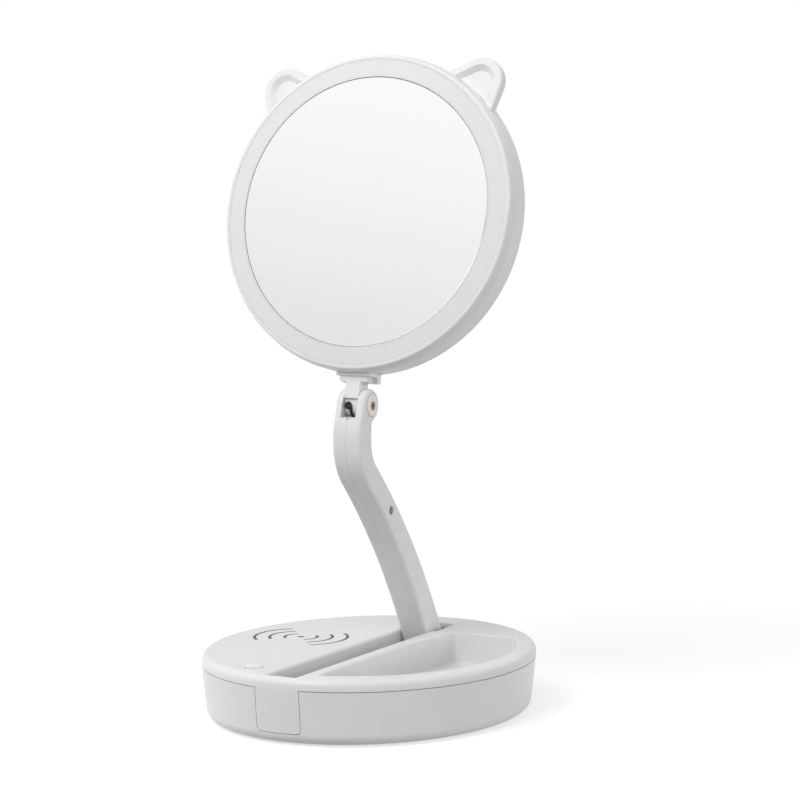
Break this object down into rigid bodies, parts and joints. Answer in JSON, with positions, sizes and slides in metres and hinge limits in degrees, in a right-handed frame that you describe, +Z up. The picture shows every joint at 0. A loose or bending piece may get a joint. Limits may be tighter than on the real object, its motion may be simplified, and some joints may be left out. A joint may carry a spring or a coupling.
{
  "type": "folding lighted makeup mirror",
  "caption": "Round lighted makeup mirror with ears on a bent arm that folds into a slot in its oval base, beside a charging pad, an open tray and a power button.",
  "frame": {"origin": "middle of the base's underside, on the surface it stands on", "axes": "+Z up; the mirror faces -Y, towards the person who uses it; +X to that person's right, the tray's side"},
  "size_m": [0.1812, 0.214, 0.3693],
  "materials": {
    "base_white": "satin with a fine grain",
    "arm_white": "satin with a fine grain",
    "head_white": "satin",
    "neck_white": "satin",
    "hinge_grey": "matt",
    "mirror": "polished",
    "diffuser": "frosted",
    "reflector_white": "glossy",
    "foot_rubber": "matt",
    "wire_black": "satin",
    "button_white": "glossy",
    "inlay_grey": "matt print",
    "brass": "turned",
    "steel": "brushed",
    "circuit_board": "green mask",
    "lamp_chip": "glossy",
    "coil_copper": "enamelled copper wire",
    "ferrite": "matt",
    "cell_wrap": "shrink wrap",
    "switch_black": "glossy"
  },
  "bodies": {
    "base": {"base_shell": "base_white", "top_cover": "base_white", "foot_ring": "foot_rubber", "symbol_inlay": "inlay_grey", "tact_switch": "switch_black", "switch_board": "circuit_board", "charging_coil": "coil_copper", "coil_shield": "ferrite", "main_board": "circuit_board", "battery_cell": "cell_wrap", "usb_board": "circuit_board", "usb_socket": "steel", "base_screws": "steel", "hinge_cradle": "hinge_grey", "cradle_screws": "steel", "foot_axle": "steel", "friction_washers": "hinge_grey"},
    "button": {"power_button": "button_white", "switch_plunger": "switch_black"},
    "arm": {"arm_left_shell": "arm_white", "arm_right_shell": "arm_white", "arm_screw": "steel", "arm_cable": "wire_black", "knuckle_pin": "brass", "knuckle_bush_left": "neck_white", "knuckle_bush_right": "neck_white"},
    "head": {"rear_housing": "head_white", "front_bezel": "head_white", "mirror_glass": "mirror", "light_diffuser": "diffuser", "reflector": "reflector_white", "led_board": "circuit_board", "leds": "lamp_chip", "head_screws": "steel", "left_ear": "head_white", "right_ear": "head_white", "neck": "neck_white", "saddle": "neck_white", "neck_screws": "steel", "knuckle_wire": "wire_black"}
  },
  "joints": [
    {"name": "arm_fold", "type": "hinge", "parent": "base", "child": "arm", "pos_m": [0, 0.072, 0.019], "axis": [1, 0, 0], "range_deg": [0, 48.5]},
    {"name": "mirror_tilt", "type": "hinge", "parent": "arm", "child": "head", "pos_m": [0, -0.01508, 0.17456], "axis": [-1, 0, 0], "range_deg": [-20, 122]},
    {"name": "button_press", "type": "slide", "parent": "base", "child": "button", "axis": [0, 0, -1], "range_m": [0, 0.0005], "stiffness_N_per_m": 1000}
  ]
}
